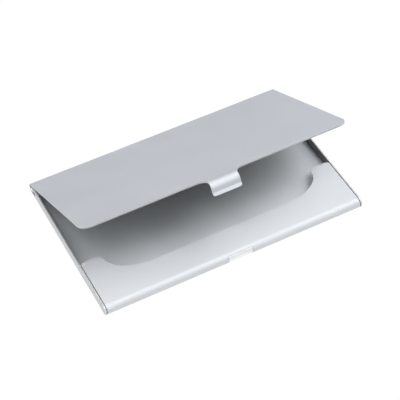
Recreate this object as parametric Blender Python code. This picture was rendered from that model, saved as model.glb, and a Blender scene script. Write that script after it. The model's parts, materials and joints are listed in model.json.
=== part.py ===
"""Hinged aluminium card case, lid ajar.

Frame: origin at the centre of the base's underside, +X along the hinge, +Y towards the hinge, +Z up.
The profiles below are drawn in the YZ plane and run along X, as folded sheet metal does.
"""
import math

import bmesh
import bpy

# Driving dimensions, metres
CASE_WIDTH = 0.0930         # base, end wall to end wall
LID_WIDTH = 0.0935          # the lid just covers the end walls
CASE_DEPTH = 0.0608         # base, front bend to rear edge
BASE_HEIGHT = 0.0040        # base, underside to the top of the pocket flap
SHEET = 0.0005              # thickness of every folded sheet
SEAM = 0.0003               # gap between neighbouring sheets
RUNNING_GAP = 0.0001        # radial clearance of the hinge pins

# Lid and hinge
LID_OPEN_DEG = 28.2         # how far the lid stands open at rest
HINGE_Y = CASE_DEPTH / 2 - 0.0015
HINGE_Z = 0.0028
CURL_RADIUS = 0.0020        # outside of the rolled rear edge
CURL_END_DEG = -60.0        # where the roll stops when the lid is shut, 0 is straight back
LID_FRONT_Y = -CASE_DEPTH / 2 + 0.0031
LID_CORNER = 0.0043

# Catch tab at the middle of the lid's front edge
TAB_WIDTH = 0.0100
TAB_FILLET = 0.0030
TAB_BEND = 0.0026           # outside radius of its fold
TAB_FACE_Y = -CASE_DEPTH / 2 - 0.0007
TAB_CREASE_Z = 0.0012
TAB_LIP = 0.0012
TAB_LIP_DEG = 22.0          # how far the lip flares outwards

# Side walls
WALL_OUTER_X = CASE_WIDTH / 2
WALL_INNER_X = WALL_OUTER_X - SHEET
EAR_RADIUS = CURL_RADIUS - SHEET - SEAM
NECK_Z = 0.00245            # underside of the neck that carries the hinge ear

# Base shell
SHELL_HALF = WALL_INNER_X - SEAM
FLAP_EDGE_Y = -CASE_DEPTH / 2 + 0.0110
FLAP_EAR_Y = -CASE_DEPTH / 2 + 0.0208
SWEEP_X = 0.0240            # where the flap's straight edge turns up into the ears
SWEEP_WIDTH = 0.0143
EAR_CORNER = 0.0016
FLAP_CORNER = 0.0012
NOTCH_X = (-0.0031, 0.0057)
NOTCH_TOP = 0.0035
NOTCH_DEPTH = 0.0019
LINER_GAP = 0.0001          # between the front bend and the strip behind its notch
PAD_DROP = 0.00005          # the strip's pad in the notch lies this far below the shell's face

# Hinge pins and bushes
PIN_RADIUS = 0.0006
PIN_HEAD_RADIUS = 0.0010
PIN_LENGTH = 0.0048
PIN_HEAD = 0.0002
BUSH_RADIUS = 0.0013
BUSH_LENGTH = 0.0030

BEND_STEPS = 14
ROUND_STEPS = 24


def clear_scene():
    for old in list(bpy.data.objects):
        bpy.data.objects.remove(old, do_unlink=True)


def material(name, colour, roughness, metallic=1.0):
    made = bpy.data.materials.new(name)
    made.use_nodes = True
    shader = made.node_tree.nodes["Principled BSDF"]
    shader.inputs["Base Color"].default_value = (*colour, 1.0)
    shader.inputs["Roughness"].default_value = roughness
    shader.inputs["Metallic"].default_value = metallic
    return made


def arc(centre, radius, start, end, steps=BEND_STEPS):
    """Points on an arc, angles in degrees, both ends included. An ellipse has radius=(a, b)."""
    across, along = radius if isinstance(radius, tuple) else (radius, radius)
    points = []
    for step in range(steps + 1):
        angle = math.radians(start + (end - start) * step / steps)
        points.append((centre[0] + across * math.cos(angle), centre[1] + along * math.sin(angle)))
    return points


def link(name, mesh, finish=None):
    made = bpy.data.objects.new(name, mesh)
    bpy.context.scene.collection.objects.link(made)
    if finish:
        mesh.materials.append(finish)
    return made


def prism(name, outline, low, high, along, finish=None):
    """A closed outline run along X (points are y, z) or along Z (points are x, y)."""
    def place(point, depth):
        return (depth, *point) if along == "X" else (*point, depth)
    shape = bmesh.new()
    near = [shape.verts.new(place(point, low)) for point in outline]
    far = [shape.verts.new(place(point, high)) for point in outline]
    shape.faces.new(near)
    shape.faces.new(far)
    for index in range(len(outline)):
        after = (index + 1) % len(outline)
        shape.faces.new((near[index], near[after], far[after], far[index]))
    bmesh.ops.recalc_face_normals(shape, faces=shape.faces)
    mesh = bpy.data.meshes.new(name)
    shape.to_mesh(mesh)
    shape.free()
    return link(name, mesh, finish)


def turned(name, profile, finish):
    """A closed profile of (x, radius) points turned about the X axis; radius 0 closes an end."""
    shape = bmesh.new()
    rings = []
    for x, radius in profile:
        count = ROUND_STEPS if radius else 1
        ring = []
        for step in range(count):
            angle = 2 * math.pi * step / ROUND_STEPS
            ring.append(shape.verts.new((x, radius * math.cos(angle), radius * math.sin(angle))))
        rings.append(ring)
    hollow = min(radius for _, radius in profile) > 0
    pairs = list(zip(rings, rings[1:])) + ([(rings[-1], rings[0])] if hollow else [])
    for first, second in pairs:
        for step in range(ROUND_STEPS):
            after = (step + 1) % ROUND_STEPS
            corners = [first[step % len(first)], first[after % len(first)],
                       second[after % len(second)], second[step % len(second)]]
            shape.faces.new(list(dict.fromkeys(corners)))
    bmesh.ops.recalc_face_normals(shape, faces=shape.faces)
    mesh = bpy.data.meshes.new(name)
    shape.to_mesh(mesh)
    shape.free()
    mesh.shade_smooth()
    mesh.set_sharp_from_angle(angle=math.radians(40))
    return link(name, mesh, finish)


def cut(target, cutter, operation="DIFFERENCE"):
    cutter.hide_render = True
    cutter.display_type = "WIRE"
    step = target.modifiers.new(cutter.name, "BOOLEAN")
    step.operation = operation
    step.solver = "EXACT"
    step.object = cutter


def mirrored(half):
    """The right-hand half of an outline, run on into its left-hand mirror image."""
    return half + [(-x, y) for x, y in reversed(half)]


def base_shell(finish):
    """One folded sheet: floor, rounded front and the pocket flap over it."""
    front = -CASE_DEPTH / 2
    rear = CASE_DEPTH / 2
    radius = BASE_HEIGHT / 2
    centre = (front + radius, radius)
    flap_end = FLAP_EAR_Y + 0.001
    profile = [(rear, 0.0)] + arc(centre, radius, 270, 90) + [(flap_end, BASE_HEIGHT)]
    profile += [(flap_end, BASE_HEIGHT - SHEET)] + arc(centre, radius - SHEET, 90, 270) + [(rear, SHEET)]
    shell = prism("base_shell", profile, -SHELL_HALF, SHELL_HALF, "X", finish)

    sweep_top = FLAP_EAR_Y - EAR_CORNER
    side = SWEEP_X + SWEEP_WIDTH
    corner = (SHELL_HALF - FLAP_CORNER, FLAP_EAR_Y - FLAP_CORNER)
    half = arc((SWEEP_X, sweep_top), (SWEEP_WIDTH, sweep_top - FLAP_EDGE_Y), 270, 360)
    half += arc((side + EAR_CORNER, sweep_top), EAR_CORNER, 180, 90, 6)
    half += arc(corner, FLAP_CORNER, 90, 0, 6)
    half += [(SHELL_HALF + SHEET, corner[1]), (SHELL_HALF + SHEET, flap_end + SHEET)]
    cut(shell, prism("flap_cutter", mirrored(half), BASE_HEIGHT / 2, BASE_HEIGHT * 2, "Z"))

    notch = [(NOTCH_X[0], front - SHEET), (NOTCH_X[1], front - SHEET),
             (NOTCH_X[1], front + NOTCH_DEPTH), (NOTCH_X[0], front + NOTCH_DEPTH)]
    cut(shell, prism("notch_cutter", notch, -SHEET, NOTCH_TOP, "Z"))
    return shell


def front_liner(finish):
    """Rolled strip inside the front bend, pressed out through the notch."""
    centre = (-CASE_DEPTH / 2 + BASE_HEIGHT / 2, BASE_HEIGHT / 2)
    outer = BASE_HEIGHT / 2 - SHEET - LINER_GAP
    inner = outer - 0.0004
    profile = arc(centre, outer, 105, 262) + arc(centre, inner, 262, 105)
    liner = prism("front_liner", profile, -SHELL_HALF, SHELL_HALF, "X", finish)
    face = BASE_HEIGHT / 2 - PAD_DROP
    top = 180 - math.degrees(math.asin((NOTCH_TOP - LINER_GAP - centre[1]) / face))
    bottom = 180 + math.degrees(math.acos((BASE_HEIGHT / 2 - NOTCH_DEPTH + LINER_GAP) / face))
    pad = arc(centre, face, top, bottom) + arc(centre, (outer + inner) / 2, 258, top)
    cut(liner, prism("liner_pad", pad, NOTCH_X[0] + LINER_GAP, NOTCH_X[1] - LINER_GAP, "X"), "UNION")
    return liner


def side_wall(name, side, finish):
    """Flat end wall with a rounded front and a hinge ear that fits inside the lid's roll."""
    front = -CASE_DEPTH / 2
    radius = BASE_HEIGHT / 2
    hinge = (HINGE_Y, HINGE_Z)
    clear = CURL_RADIUS + SEAM
    ear_start = 180 + math.degrees(math.asin((HINGE_Z - NECK_Z) / EAR_RADIUS))
    clear_end = 180 + math.degrees(math.asin((HINGE_Z - NECK_Z) / clear))
    outline = arc((front + radius, radius), radius, 90, 270)
    outline += [(CASE_DEPTH / 2, 0.0), (CASE_DEPTH / 2, HINGE_Z - clear)]
    outline += arc(hinge, clear, 270, clear_end)
    outline += arc(hinge, EAR_RADIUS, ear_start, 450)
    wall = prism(name, outline, side * WALL_INNER_X, side * WALL_OUTER_X, "X", finish)
    hole = arc(hinge, PIN_RADIUS + RUNNING_GAP, 0, 360 - 360 / ROUND_STEPS, ROUND_STEPS - 1)
    cut(wall, prism(name + "_hole", hole, side * (WALL_INNER_X - SHEET), side * (WALL_OUTER_X + SHEET), "X"))
    return wall


def lid_profile():
    """Lid section with the hinge axis at (0, 0) and the lid shut: roll, flat, folded tab."""
    top = CURL_RADIUS
    face = TAB_FACE_Y - HINGE_Y
    crease = TAB_CREASE_Z - HINGE_Z
    bend = (face + TAB_BEND, top - TAB_BEND)
    lip = math.radians(TAB_LIP_DEG)
    lip_run = (-TAB_LIP * math.sin(lip), -TAB_LIP * math.cos(lip))
    across = (SHEET * math.cos(lip), -SHEET * math.sin(lip))
    miter = SHEET * math.tan(lip / 2)
    outer = arc((0, 0), CURL_RADIUS, CURL_END_DEG, 90) + arc(bend, TAB_BEND, 90, 180, 8)
    outer += [(face, crease), (face + lip_run[0], crease + lip_run[1])]
    inner = [(outer[-1][0] + across[0], outer[-1][1] + across[1]), (face + SHEET, crease - miter)]
    inner += arc(bend, TAB_BEND - SHEET, 180, 90, 8) + arc((0, 0), CURL_RADIUS - SHEET, 90, CURL_END_DEG)
    return outer + inner


def lid_plan():
    """The lid seen from above, shut, with the hinge axis at y = 0."""
    half_width = LID_WIDTH / 2
    front = LID_FRONT_Y - HINGE_Y
    half = [(half_width, CURL_RADIUS * 1.5)]
    half += arc((half_width - LID_CORNER, front + LID_CORNER), LID_CORNER, 0, -90, 10)
    half += arc((TAB_WIDTH / 2 + TAB_FILLET, front - TAB_FILLET), TAB_FILLET, 90, 180, 8)
    half += [(TAB_WIDTH / 2, front - TAB_FILLET * 3)]
    return mirrored(half)


def lid(finish, pivot):
    """One folded sheet, built about the hinge axis and turned open with its pivot."""
    half_width = LID_WIDTH / 2 + SHEET
    sheet = prism("lid_sheet", lid_profile(), -half_width, half_width, "X", finish)
    plan = prism("lid_plan_cutter", lid_plan(), -CASE_DEPTH / 2, CASE_DEPTH / 2, "Z")
    cut(sheet, plan, "INTERSECT")
    sheet.parent = pivot
    plan.parent = pivot
    return sheet


def hinge_pin(name, side, finish):
    head = WALL_OUTER_X + RUNNING_GAP
    end = head + PIN_HEAD
    profile = [(end, 0), (end, PIN_HEAD_RADIUS), (head, PIN_HEAD_RADIUS), (head, PIN_RADIUS),
               (end - PIN_LENGTH, PIN_RADIUS), (end - PIN_LENGTH, 0)]
    pin = turned(name, [(side * x, radius) for x, radius in profile], finish)
    pin.location = (0, HINGE_Y, HINGE_Z)
    return pin


def hinge_bush(name, side, finish, pivot):
    end = WALL_INNER_X - 2 * RUNNING_GAP
    bore = PIN_RADIUS + RUNNING_GAP
    profile = [(end, bore), (end, BUSH_RADIUS), (end - BUSH_LENGTH, BUSH_RADIUS), (end - BUSH_LENGTH, bore)]
    bush = turned(name, [(side * x, radius) for x, radius in profile], finish)
    bush.parent = pivot
    return bush


def build():
    clear_scene()
    satin = material("satin_aluminium", (0.66, 0.67, 0.69), 0.34)
    wall_metal = material("wall_aluminium", (0.60, 0.61, 0.63), 0.38)
    bright = material("bright_strip", (0.92, 0.93, 0.94), 0.30)
    lid_metal = material("lid_aluminium", (0.62, 0.63, 0.66), 0.40)
    steel = material("pin_steel", (0.45, 0.45, 0.46), 0.30)
    acetal = material("bush_acetal", (0.10, 0.10, 0.11), 0.50, 0.0)

    pivot = bpy.data.objects.new("lid_pivot", None)
    bpy.context.scene.collection.objects.link(pivot)
    pivot.location = (0, HINGE_Y, HINGE_Z)
    pivot.rotation_euler = (-math.radians(LID_OPEN_DEG), 0, 0)

    base_shell(satin)
    front_liner(bright)
    lid(lid_metal, pivot)
    for side, word in ((-1, "left"), (1, "right")):
        side_wall("side_wall_" + word, side, wall_metal)
        hinge_pin("hinge_pin_" + word, side, steel)
        hinge_bush("hinge_bush_" + word, side, acetal, pivot)


build()
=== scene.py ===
import json
import math

import bmesh
import bpy
from mathutils import Matrix, Vector


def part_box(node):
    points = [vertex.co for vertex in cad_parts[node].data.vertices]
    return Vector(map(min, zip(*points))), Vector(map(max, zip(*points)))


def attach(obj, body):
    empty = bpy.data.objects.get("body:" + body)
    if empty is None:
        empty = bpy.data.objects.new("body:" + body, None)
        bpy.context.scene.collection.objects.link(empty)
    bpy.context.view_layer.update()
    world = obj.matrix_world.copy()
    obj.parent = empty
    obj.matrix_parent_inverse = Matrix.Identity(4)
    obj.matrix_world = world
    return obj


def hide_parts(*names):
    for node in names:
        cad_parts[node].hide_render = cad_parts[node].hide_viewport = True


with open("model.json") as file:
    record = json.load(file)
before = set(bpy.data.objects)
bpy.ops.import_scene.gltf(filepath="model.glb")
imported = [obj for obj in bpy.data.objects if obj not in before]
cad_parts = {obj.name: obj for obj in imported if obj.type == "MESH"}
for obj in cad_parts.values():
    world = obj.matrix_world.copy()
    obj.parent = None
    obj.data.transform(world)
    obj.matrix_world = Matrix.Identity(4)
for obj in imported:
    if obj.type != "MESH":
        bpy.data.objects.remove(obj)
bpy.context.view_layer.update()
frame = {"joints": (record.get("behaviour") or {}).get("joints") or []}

# ---------------------------------------------------------------- sizes and places
MM = 0.001
SHEET = 0.5 * MM
SEAM = 0.3 * MM
RUNNING_GAP = 0.1 * MM
EDGE = 0.07 * MM            # softened edge of every folded sheet
TINY = 1e-7                 # two lengths closer than this are the same

hinge_joint = frame["joints"][0]
HINGE = Vector(hinge_joint["pos_m"])
OPEN_ANGLE = -math.radians(hinge_joint["range_deg"][0])     # the shut lid is the joint's lower limit

shell_low, shell_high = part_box("base_shell")
wall_low, wall_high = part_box("side_wall_right")
pin_low, pin_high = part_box("hinge_pin_right")
bush_low, bush_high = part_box("hinge_bush_right")

FRONT = shell_low.y
REAR = shell_high.y
HEIGHT = shell_high.z
SHELL_HALF = shell_high.x
LID_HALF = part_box("lid_sheet")[1].x
BEND = HEIGHT / 2           # radius of the front bend
BEND_CENTRE = (FRONT + BEND, BEND)

CURL_RADIUS = 2.0 * MM
CURL_END = -60.0            # degrees, 0 is straight back
LID_FRONT = FRONT + 3.1 * MM
LID_CORNER = 4.3 * MM
TAB_HALF = 5.0 * MM
TAB_FILLET = 3.0 * MM
TAB_BEND = 2.6 * MM
TAB_FACE = FRONT - 0.7 * MM
TAB_CREASE_Z = 1.2 * MM
TAB_CREASE = 0.15 * MM      # half the length of the crease above the lip
TAB_LIP = 1.2 * MM
TAB_LIP_ANGLE = math.radians(22)
TAB_CORNER = 0.7 * MM

FLAP_EDGE = FRONT + 11.0 * MM
FLAP_EAR = FRONT + 20.8 * MM
FLAP_REACH = 0.08 * MM      # how far the flap reaches into the seam beside it
TRAY_REACH = 0.24 * MM
FLAP_CORNER = 1.2 * MM
EAR_CORNER = 1.6 * MM
SWEEP_TOP = FLAP_EAR - EAR_CORNER
SWEEP_X = 24.0 * MM
SWEEP_WIDTH = 14.3 * MM
NOTCH_X = (-3.1 * MM, 5.7 * MM)
NOTCH_TOP = 3.5 * MM
NOTCH_DEPTH = 1.9 * MM
LINER_SHEET = 0.4 * MM
LINER_GAP = 0.1 * MM
PAD_DROP = 0.05 * MM        # the liner's pad in the notch lies this far below the shell's face

EAR_RADIUS = CURL_RADIUS - SHEET - SEAM      # the end wall's ear inside the rolled edge
NECK_Z = 2.45 * MM          # underside of the neck that carries the ear
PIN_RADIUS = 0.6 * MM
PIN_HEAD = 0.2 * MM
BUSH_RADIUS = 1.3 * MM


# ---------------------------------------------------------------- materials
class Nodes:
    """Short way to add and link shader nodes."""

    def __init__(self, name):
        self.material = bpy.data.materials.new(name)
        self.material.use_nodes = True
        self.tree = self.material.node_tree
        self.shader = self.tree.nodes["Principled BSDF"]

    def add(self, kind, **settings):
        node = self.tree.nodes.new(kind)
        for key, value in settings.items():
            if key in node.inputs:
                node.inputs[key].default_value = value
            else:
                setattr(node, key, value)
        return node

    def link(self, source, target):
        self.tree.links.new(source, target)


def satin_finish(name, colour, roughness, grain=0.006 * MM, blotch=0.03, painted_ramp=None, metallic=1.0):
    """A fine-grained satin surface, faintly cloudy in colour and gloss: by default blasted aluminium.

    The optional ramp makes it smoother towards one side and scales its colour there as painted light and
    shade:
    direction, where it starts and where it is full along that direction, roughness there, brightness there.
    """
    nodes = Nodes(name)
    place = nodes.add("ShaderNodeTexCoord")
    shader = nodes.shader
    shader.inputs["Metallic"].default_value = metallic

    cloud = nodes.add("ShaderNodeTexNoise", Scale=90.0, Detail=3.0, Roughness=0.55)
    nodes.link(place.outputs["Object"], cloud.inputs["Vector"])
    tint = nodes.add("ShaderNodeMapRange")
    tint.inputs["To Min"].default_value = 1.0 - blotch
    tint.inputs["To Max"].default_value = 1.0 + blotch
    nodes.link(cloud.outputs["Fac"], tint.inputs["Value"])

    speck = nodes.add("ShaderNodeTexNoise", Scale=5200.0, Detail=2.0, Roughness=0.6)
    nodes.link(place.outputs["Object"], speck.inputs["Vector"])
    fleck = nodes.add("ShaderNodeMapRange")
    fleck.inputs["To Min"].default_value = 0.95
    fleck.inputs["To Max"].default_value = 1.05
    nodes.link(speck.outputs["Fac"], fleck.inputs["Value"])

    both = nodes.add("ShaderNodeMath", operation="MULTIPLY")
    nodes.link(tint.outputs["Result"], both.inputs[0])
    nodes.link(fleck.outputs["Result"], both.inputs[1])
    gloss = nodes.add("ShaderNodeMapRange")
    gloss.inputs["To Min"].default_value = roughness - 0.04
    gloss.inputs["To Max"].default_value = roughness + 0.04
    nodes.link(cloud.outputs["Fac"], gloss.inputs["Value"])
    strength, shine = both.outputs["Value"], gloss.outputs["Result"]

    if painted_ramp:
        direction, start, full, ramp_roughness, gain = painted_ramp
        along = nodes.add("ShaderNodeVectorMath", operation="DOT_PRODUCT")
        along.inputs[1].default_value = direction
        nodes.link(place.outputs["Object"], along.inputs[0])

        def fade(source, factor):
            ramp_factor = nodes.add("ShaderNodeMapRange", interpolation_type="SMOOTHSTEP")
            ramp_factor.inputs["From Min"].default_value = start
            ramp_factor.inputs["From Max"].default_value = full
            ramp_factor.inputs["To Min"].default_value = 1.0
            ramp_factor.inputs["To Max"].default_value = factor
            nodes.link(along.outputs["Value"], ramp_factor.inputs["Value"])
            product = nodes.add("ShaderNodeMath", operation="MULTIPLY")
            nodes.link(source, product.inputs[0])
            nodes.link(ramp_factor.outputs["Result"], product.inputs[1])
            return product.outputs["Value"]

        # the ramp scales the colour: painted light where the gain is above 1, painted shade where it is below
        strength, shine = fade(strength, gain), fade(shine, ramp_roughness / roughness)

    shade = nodes.add("ShaderNodeVectorMath", operation="SCALE")
    shade.inputs[0].default_value = colour
    nodes.link(strength, shade.inputs["Scale"])
    nodes.link(shade.outputs["Vector"], shader.inputs["Base Color"])

    nodes.link(shine, shader.inputs["Roughness"])

    bump = nodes.add("ShaderNodeBump", Strength=0.35, Distance=grain)
    nodes.link(speck.outputs["Fac"], bump.inputs["Height"])
    nodes.link(bump.outputs["Normal"], shader.inputs["Normal"])
    return nodes.material


# ---------------------------------------------------------------- mesh tools
def arc(centre, radius, start, end, steps):
    """Points on an arc, angles in degrees, both ends included."""
    points = []
    for step in range(steps + 1):
        angle = math.radians(start + (end - start) * step / steps)
        points.append((centre[0] + radius * math.cos(angle), centre[1] + radius * math.sin(angle)))
    return points


def link(name, mesh, *looks):
    piece = bpy.data.objects.new(name, mesh)
    bpy.context.scene.collection.objects.link(piece)
    for finish in looks:
        mesh.materials.append(finish)
    return piece


def evaluate(piece):
    """Apply a piece's modifiers to its mesh."""
    graph = bpy.context.evaluated_depsgraph_get()
    mesh = bpy.data.meshes.new_from_object(piece.evaluated_get(graph))
    piece.modifiers.clear()
    piece.data = mesh


def soften(piece, width=EDGE):
    """Round a piece's edges a little, and keep its flat faces flat in the shading."""
    bevel = piece.modifiers.new("soft_edges", "BEVEL")
    bevel.width = width
    bevel.segments = 2
    bevel.limit_method = "ANGLE"
    bevel.angle_limit = math.radians(40)
    evaluate(piece)
    piece.data.shade_smooth()
    weights = piece.modifiers.new("even_normals", "WEIGHTED_NORMAL")
    weights.keep_sharp = True
    evaluate(piece)


def folded_sheet(name, path, strips, looks):
    """A sheet of even thickness folded along X, in three looks that are one metal in painted light and shade:
    outer face, cut edges, inner face.

    path holds the (y, z) stations of its outer face. strips(index, arriving) lists the strips at a
    station, always in the same order: (left, right, columns), or None where a strip is missing. arriving
    says that the stretch before the station is meant, not the one after it. A strip is drawn between two
    stations where both have it.
    """
    shape = bmesh.new()
    known = {}

    def vertex(station, strip, spot):
        left, right, columns = strip
        x = left + (right - left) * spot / columns
        key = (station, round(x / MM, 4))
        if key not in known:
            known[key] = shape.verts.new((x, *path[station]))
        return known[key]

    for station in range(len(path) - 1):
        after = station + 1
        for here, there in zip(strips(station, False), strips(after, True)):
            if not here or not there:
                continue
            for spot in range(here[2]):
                shape.faces.new((vertex(station, here, spot), vertex(station, here, spot + 1),
                                 vertex(after, there, spot + 1), vertex(after, there, spot)))
    mesh = bpy.data.meshes.new(name)
    shape.to_mesh(mesh)
    shape.free()
    piece = link(name, mesh, *looks)
    thick = piece.modifiers.new("thickness", "SOLIDIFY")
    thick.thickness = SHEET
    thick.offset = -1.0
    thick.use_even_offset = True
    thick.material_offset_rim = 1
    thick.material_offset = 2
    evaluate(piece)
    return piece


def prism(name, outline, low, high, *looks):
    """A closed (y, z) outline run along X."""
    shape = bmesh.new()
    near = [shape.verts.new((low, *point)) for point in outline]
    far = [shape.verts.new((high, *point)) for point in outline]
    shape.faces.new(near)
    shape.faces.new(far)
    for index in range(len(outline)):
        after = (index + 1) % len(outline)
        shape.faces.new((near[index], near[after], far[after], far[index]))
    bmesh.ops.recalc_face_normals(shape, faces=shape.faces)
    mesh = bpy.data.meshes.new(name)
    shape.to_mesh(mesh)
    shape.free()
    return link(name, mesh, *looks)


def turned(name, profile, finish):
    """A closed profile of (x, radius) points turned about the X axis; radius 0 closes an end."""
    steps = 48
    shape = bmesh.new()
    rings = []
    for x, radius in profile:
        ring = []
        for step in range(steps if radius else 1):
            angle = 2 * math.pi * step / steps
            ring.append(shape.verts.new((x, radius * math.cos(angle), radius * math.sin(angle))))
        rings.append(ring)
    pairs = list(zip(rings, rings[1:]))
    if all(radius for _, radius in profile):
        pairs.append((rings[-1], rings[0]))
    for first, second in pairs:
        for step in range(steps):
            after = (step + 1) % steps
            corners = [first[step % len(first)], first[after % len(first)],
                       second[after % len(second)], second[step % len(second)]]
            shape.faces.new(list(dict.fromkeys(corners)))
    bmesh.ops.recalc_face_normals(shape, faces=shape.faces)
    mesh = bpy.data.meshes.new(name)
    shape.to_mesh(mesh)
    shape.free()
    mesh.shade_smooth()
    mesh.set_sharp_from_angle(angle=math.radians(30))
    return link(name, mesh, finish)


def combine(piece, tool, operation):
    """Join a tool to a piece, or cut it away, and remove the tool."""
    step = piece.modifiers.new("combine", "BOOLEAN")
    step.operation = operation
    step.object = tool
    step.solver = "EXACT"
    evaluate(piece)
    bpy.data.objects.remove(tool)


def seat(piece, body, node):
    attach(piece, body)
    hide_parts(node)


# ---------------------------------------------------------------- the lid
def lid_path():
    """Outer face of the shut lid, hinge axis at (0, 0), from the tab's lip back to the rolled edge."""
    top = CURL_RADIUS
    face = TAB_FACE - HINGE.y
    crease = TAB_CREASE_Z - HINGE.z
    front = LID_FRONT - HINGE.y
    path = []
    rounding = [TAB_LIP - TAB_CORNER * math.sin(math.radians(11.25 * step)) for step in range(9)]
    for along in rounding + [TAB_CREASE]:
        path.append((face - along * math.sin(TAB_LIP_ANGLE), crease - along * math.cos(TAB_LIP_ANGLE)))
    path.append((face, crease))
    path.append((face, crease + TAB_CREASE))
    bend = arc((face + TAB_BEND, top - TAB_BEND), TAB_BEND, 180, 90, 24)
    path += bend
    fillet = [(front - TAB_FILLET * math.cos(math.radians(angle)), top) for angle in range(50, 91, 5)]
    path += [spot for spot in fillet if spot[0] > bend[-1][0] + 0.1 * MM]
    path += [(front + LID_CORNER * (1 - math.cos(math.radians(angle))), top) for angle in range(9, 91, 9)]
    path += [(front + LID_CORNER + 2 * MM, top), (-6 * MM, top), (-4 * MM, top)]
    path += arc((0, 0), CURL_RADIUS, 90, CURL_END, 30)
    return path


def make_lid(*looks):
    path = lid_path()
    front = LID_FRONT - HINGE.y
    face = TAB_FACE - HINGE.y
    crease = TAB_CREASE_Z - HINGE.z
    neck = TAB_HALF + TAB_FILLET

    def tab_half(y, z):
        """Half the tab's width: round at the lip's corners, filleted where it leaves the lid's edge."""
        if z < crease:
            left_over = TAB_LIP - math.hypot(y - face, z - crease)
            short = max(TAB_CORNER - left_over, 0.0)
            return TAB_HALF - TAB_CORNER + math.sqrt(max(TAB_CORNER ** 2 - short ** 2, 0.0))
        depth = max((y - (front - TAB_FILLET)) / TAB_FILLET, 0.0)
        return neck - TAB_FILLET * math.sqrt(1 - depth ** 2)

    def strips(index, arriving):
        y, z = path[index]
        if y < front - TINY:
            half = tab_half(y, z)
            return [None, (-half, half, 6), None]
        middle = (-neck, neck, 6)
        if arriving and y < front + TINY:
            return [None, middle, None]
        short = 1 - min(max((y - front) / LID_CORNER, 0.0), 1.0)
        half = LID_HALF - LID_CORNER * (1 - math.sqrt(1 - short ** 2))
        return [(-half, -neck, 8), middle, (neck, half, 8)]

    lid = folded_sheet("lid_sheet_fine", path, strips, looks)
    soften(lid)
    lid.data.transform(Matrix.Translation(HINGE) @ Matrix.Rotation(-OPEN_ANGLE, 4, "X"))
    seat(lid, "lid", "lid_sheet")


# ---------------------------------------------------------------- the base
def notch_angles():
    """Where the notch starts and ends round the front bend, where 270 is below and 180 in front."""
    low = 180 + math.degrees(math.acos((BEND - NOTCH_DEPTH) / BEND))
    high = 180 - math.degrees(math.asin((NOTCH_TOP - BEND) / BEND))
    return low, high


def shell_path():
    """Outer face of the base shell, from the floor's rear edge round the front to the flap's ears."""
    angles = {270.0, 90.0, *notch_angles()} | {90.0 + 7.5 * step for step in range(25)}
    path = [(REAR, 0.0), (0.0, 0.0)]
    for angle in sorted(angles, reverse=True):
        turn = math.radians(angle)
        path.append((BEND_CENTRE[0] + BEND * math.cos(turn), BEND_CENTRE[1] + BEND * math.sin(turn)))
    path.append((FRONT + 6 * MM, HEIGHT))
    rise = SWEEP_TOP - FLAP_EDGE
    path += [(FLAP_EDGE + rise * (1 - math.cos(math.radians(angle))), HEIGHT) for angle in range(0, 91, 5)]
    tops = {SWEEP_TOP + EAR_CORNER * math.sin(math.radians(angle)) for angle in range(15, 91, 15)}
    tops |= {FLAP_EAR - FLAP_CORNER * (1 - math.sin(math.radians(angle))) for angle in range(0, 90, 15)}
    path += [(y, HEIGHT) for y in sorted(tops) if y > SWEEP_TOP + TINY]
    return path


def make_shell(*looks):
    path = shell_path()
    notch_low, notch_high = notch_angles()
    near = 1e-4             # degrees

    def sweep_x(y):
        """Where the flap's cut-out ends at y."""
        if y <= FLAP_EDGE:
            return SWEEP_X
        if y <= SWEEP_TOP:
            short = (SWEEP_TOP - y) / (SWEEP_TOP - FLAP_EDGE)
            return SWEEP_X + SWEEP_WIDTH * math.sqrt(max(1 - short ** 2, 0.0))
        turn = math.asin(min((y - SWEEP_TOP) / EAR_CORNER, 1.0))
        return SWEEP_X + SWEEP_WIDTH + EAR_CORNER * (1 - math.cos(turn))

    def side_x(y, z):
        """Where the sheet ends towards the end wall."""
        corner = y - (FLAP_EAR - FLAP_CORNER)
        if y > BEND_CENTRE[0] + TINY and z < TINY:
            return SHELL_HALF + TRAY_REACH
        if z < HEIGHT - TINY or corner <= 0:
            return SHELL_HALF + FLAP_REACH
        return SHELL_HALF + FLAP_REACH - FLAP_CORNER + math.sqrt(max(FLAP_CORNER ** 2 - corner ** 2, 0.0))

    def strips(index, arriving):
        y, z = path[index]
        on_flap = z > HEIGHT - TINY and y > BEND_CENTRE[0] - TINY
        inside = sweep_x(y) if on_flap else SWEEP_X
        side = side_x(y, z)
        if on_flap and (y > FLAP_EDGE + TINY or (y > FLAP_EDGE - TINY and not arriving)):
            return [(-side, -inside, 6), None, None, None, (inside, side, 6)]
        angle = math.degrees(math.atan2(z - BEND_CENTRE[1], y - BEND_CENTRE[0])) % 360
        start = notch_low + near if not arriving else notch_low - near
        end = notch_high + near if not arriving else notch_high - near
        middle = None if end < angle < start else (NOTCH_X[0], NOTCH_X[1], 2)
        return [(-side, -inside, 6), (-inside, NOTCH_X[0], 6), middle, (NOTCH_X[1], inside, 6),
                (inside, side, 6)]

    shell = folded_sheet("base_shell_fine", path, strips, looks)
    soften(shell)
    seat(shell, "base", "base_shell")


def make_liner(finish):
    """The strip behind the front bend, with a pad pressed out of it that fills the notch."""
    outer = BEND - SHEET - LINER_GAP
    inner = outer - LINER_SHEET
    outline = arc(BEND_CENTRE, outer, 105, 262, 24) + arc(BEND_CENTRE, inner, 262, 105, 24)
    liner = prism("front_liner_fine", outline, -SHELL_HALF, SHELL_HALF, finish)

    notch_low, notch_high = notch_angles()
    gap = math.degrees(LINER_GAP / BEND)
    face = arc(BEND_CENTRE, BEND - PAD_DROP, notch_high + gap, notch_low - gap, 32)
    back = arc(BEND_CENTRE, (outer + inner) / 2, 258, notch_high + gap, 32)
    pad = prism("pad", face + back, NOTCH_X[0] + LINER_GAP, NOTCH_X[1] - LINER_GAP, finish)
    combine(liner, pad, "UNION")
    soften(liner, 0.04 * MM)
    seat(liner, "base", "front_liner")


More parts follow.
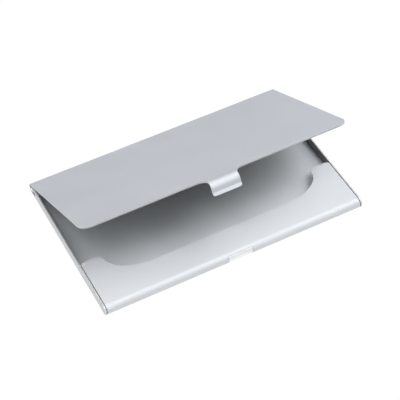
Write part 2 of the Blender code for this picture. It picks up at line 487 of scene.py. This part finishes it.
def make_wall(word, side, *looks):
    """An end wall in three looks: outer face, cut edges, and inner face, the inner one a darker copy as
    painted shade.
    """
    hinge = (HINGE.y, HINGE.z)
    clear = CURL_RADIUS + SEAM
    ear_start = 180 + math.degrees(math.asin((HINGE.z - NECK_Z) / EAR_RADIUS))
    clear_end = 180 + math.degrees(math.asin((HINGE.z - NECK_Z) / clear))
    outline = arc(BEND_CENTRE, BEND, 90, 270, 32)
    outline += [(REAR, 0.0), (REAR, HINGE.z - clear)]
    outline += arc(hinge, clear, 270, clear_end, 20)
    outline += arc(hinge, EAR_RADIUS, ear_start, 450, 32)
    wall = prism("side_wall_fine_" + word, outline, side * wall_low.x, side * wall_high.x, *looks)
    rim = arc(hinge, PIN_RADIUS + RUNNING_GAP, 0, 352.5, 47)
    hole = prism("hole", rim, side * (wall_low.x - SHEET), side * (wall_high.x + SHEET))
    combine(wall, hole, "DIFFERENCE")
    # inward faces take the third look, a dark copy of the metal: painted shade; cut edges take the second
    for face in wall.data.polygons:
        outward = side * face.normal.x
        face.material_index = 0 if outward > 0.5 else 2 if outward < -0.5 else 1
    soften(wall)
    seat(wall, "base", "side_wall_" + word)


# ---------------------------------------------------------------- the hinge
def make_pin(word, side, finish):
    end, tail = pin_high.x, pin_low.x
    head = pin_high.z - HINGE.z
    under = end - PIN_HEAD
    chamfer = 0.05 * MM
    profile = [(end, 0), (end, head - chamfer), (end - chamfer, head), (under, head), (under, PIN_RADIUS),
               (tail + chamfer, PIN_RADIUS), (tail, PIN_RADIUS - chamfer), (tail, 0)]
    pin = turned("hinge_pin_fine_" + word, [(side * x, radius) for x, radius in profile], finish)
    pin.location = HINGE
    seat(pin, "base", "hinge_pin_" + word)


def make_bush(word, side, finish):
    low, high = bush_low.x, bush_high.x
    bore = PIN_RADIUS + RUNNING_GAP
    chamfer = 0.15 * MM
    profile = [(high, bore), (high, BUSH_RADIUS - chamfer), (high - chamfer, BUSH_RADIUS),
               (low + chamfer, BUSH_RADIUS), (low, BUSH_RADIUS - chamfer), (low, bore)]
    bush = turned("hinge_bush_fine_" + word, [(side * x, radius) for x, radius in profile], finish)
    bush.location = HINGE
    seat(bush, "lid", "hinge_bush_" + word)


# ---------------------------------------------------------------- studio
def make_camera():
    azimuth, elevation, roll = (math.radians(angle) for angle in (-24.68, 47.81, -3.46))
    distance = 458.7 * MM
    aim = Vector((1.34, -1.27, 0.62)) * MM
    back = Vector((math.sin(azimuth) * math.cos(elevation), -math.cos(azimuth) * math.cos(elevation),
                   math.sin(elevation)))
    right = (-back).cross(Vector((0, 0, 1))).normalized()
    up = right.cross(-back)
    turned_right = math.cos(roll) * right + math.sin(roll) * up
    turned_up = math.cos(roll) * up - math.sin(roll) * right
    data = bpy.data.cameras.new("camera")
    data.lens = 123.7
    data.sensor_width = 36.0
    data.clip_start = 0.01
    camera = bpy.data.objects.new("camera", data)
    bpy.context.scene.collection.objects.link(camera)
    camera.matrix_world = Matrix.Translation(aim + back * distance) @ Matrix(
        (turned_right, turned_up, back)).transposed().to_4x4()
    bpy.context.scene.camera = camera


def make_floor():
    mesh = bpy.data.meshes.new("floor")
    reach = 3.0
    level = -0.02 * MM          # just clear of the underside, so that no two faces coincide
    corners = [(x, y, level) for x, y in ((-reach, -reach), (reach, -reach), (reach, reach), (-reach, reach))]
    mesh.from_pydata(corners, [], [(0, 1, 2, 3)])
    nodes = Nodes("pale_floor")
    nodes.shader.inputs["Base Color"].default_value = (0, 0, 0, 1)
    nodes.shader.inputs["Roughness"].default_value = 0.9
    nodes.shader.inputs["Specular IOR Level"].default_value = 0.0
    nodes.shader.inputs["Emission Color"].default_value = (1, 1, 1, 1)
    nodes.shader.inputs["Emission Strength"].default_value = 1.02
    floor = link("floor", mesh, nodes.material)


def soft_box(turn, rise, power):
    """A square soft box aimed at the origin."""
    data = bpy.data.lights.new("soft_box", "AREA")
    data.shape = "SQUARE"
    data.size = 0.4
    data.energy = power
    light = bpy.data.objects.new("soft_box", data)
    bpy.context.scene.collection.objects.link(light)
    direction = Vector((math.sin(turn) * math.cos(rise), -math.cos(turn) * math.cos(rise), math.sin(rise)))
    aim = direction.to_track_quat("Z", "Y").to_matrix().to_4x4()
    light.matrix_world = Matrix.Translation(0.9 * direction) @ aim


def make_studio():
    scene = bpy.context.scene
    scene.view_settings.view_transform = "Standard"
    world = bpy.data.worlds.new("studio")
    scene.world = world
    world.use_nodes = True
    world.node_tree.nodes["Background"].inputs["Strength"].default_value = 0.0

    # soft boxes all round: azimuth from the front and elevation in degrees, then watts
    boxes = [(90, 8, 0.9), (270, 8, 3.6), (315, 8, 0.7),
             (90, 35, 2.6), (135, 35, 0.6), (225, 35, 1.1), (270, 35, 1.7),
             (0, 62, 1.2), (45, 62, 3.7), (90, 62, 1.8), (225, 62, 0.2), (315, 62, 3.6),
             (0, 90, 0.4)]
    for azimuth, elevation, power in boxes:
        soft_box(math.radians(azimuth), math.radians(elevation), power)


def main():
    forward = Vector((0, -math.cos(OPEN_ANGLE), math.sin(OPEN_ANGLE)))
    reach = HINGE.y + HINGE.dot(forward)
    # The tab is made smoother and painted a little darker (painted shade); the bottom of the front bend and
    # the underside are made a little smoother and painted lighter (painted light).
    tab_painted_shade = (forward, reach - LID_FRONT, reach - TAB_FACE - 1.5 * MM, 0.76, 0.97)
    front_painted_light = ((0, 0, -1), -3.9 * MM, -1.5 * MM, 0.80, 1.10)
    # The aluminium is one metal shown in lighter and darker copies, part by part and face by face: painted
    # light and shade. The inner faces of the lid and of the end walls are much darker copies: painted shade.
    lid_metal = satin_finish("lid_aluminium", (0.594, 0.616, 0.650), 0.80, painted_ramp=tab_painted_shade)
    lid_edge = satin_finish("lid_edge", (0.50, 0.51, 0.53), 0.75)
    lid_inside_painted_shade = satin_finish("lid_inside_painted_shade", (0.295, 0.300, 0.310), 0.60)
    shell_metal = satin_finish("shell_aluminium", (0.670, 0.686, 0.708), 0.82, painted_ramp=front_painted_light)
    shell_edge = satin_finish("shell_edge", (0.66, 0.67, 0.69), 0.75)
    tray_inside = satin_finish("tray_inside", (0.658, 0.682, 0.705), 0.75)
    wall_metal = satin_finish("wall_aluminium", (0.540, 0.550, 0.565), 0.75)
    wall_edge = satin_finish("wall_edge", (0.64, 0.65, 0.66), 0.75)
    wall_inside_painted_shade = satin_finish("wall_inside_painted_shade", (0.20, 0.20, 0.21), 0.50)
    bright = satin_finish("bright_strip", (0.93, 0.94, 0.95), 0.60)
    steel = satin_finish("pin_steel", (0.68, 0.69, 0.70), 0.55)
    acetal = satin_finish("bush_acetal", (0.10, 0.10, 0.11), 0.50, metallic=0.0)

    make_camera()
    make_floor()
    make_studio()
    make_lid(lid_metal, lid_edge, lid_inside_painted_shade)
    make_shell(shell_metal, shell_edge, tray_inside)
    make_liner(bright)
    for side, word in ((-1, "left"), (1, "right")):
        make_wall(word, side, wall_metal, wall_edge, wall_inside_painted_shade)
        make_pin(word, side, steel)
        make_bush(word, side, acetal)


main()
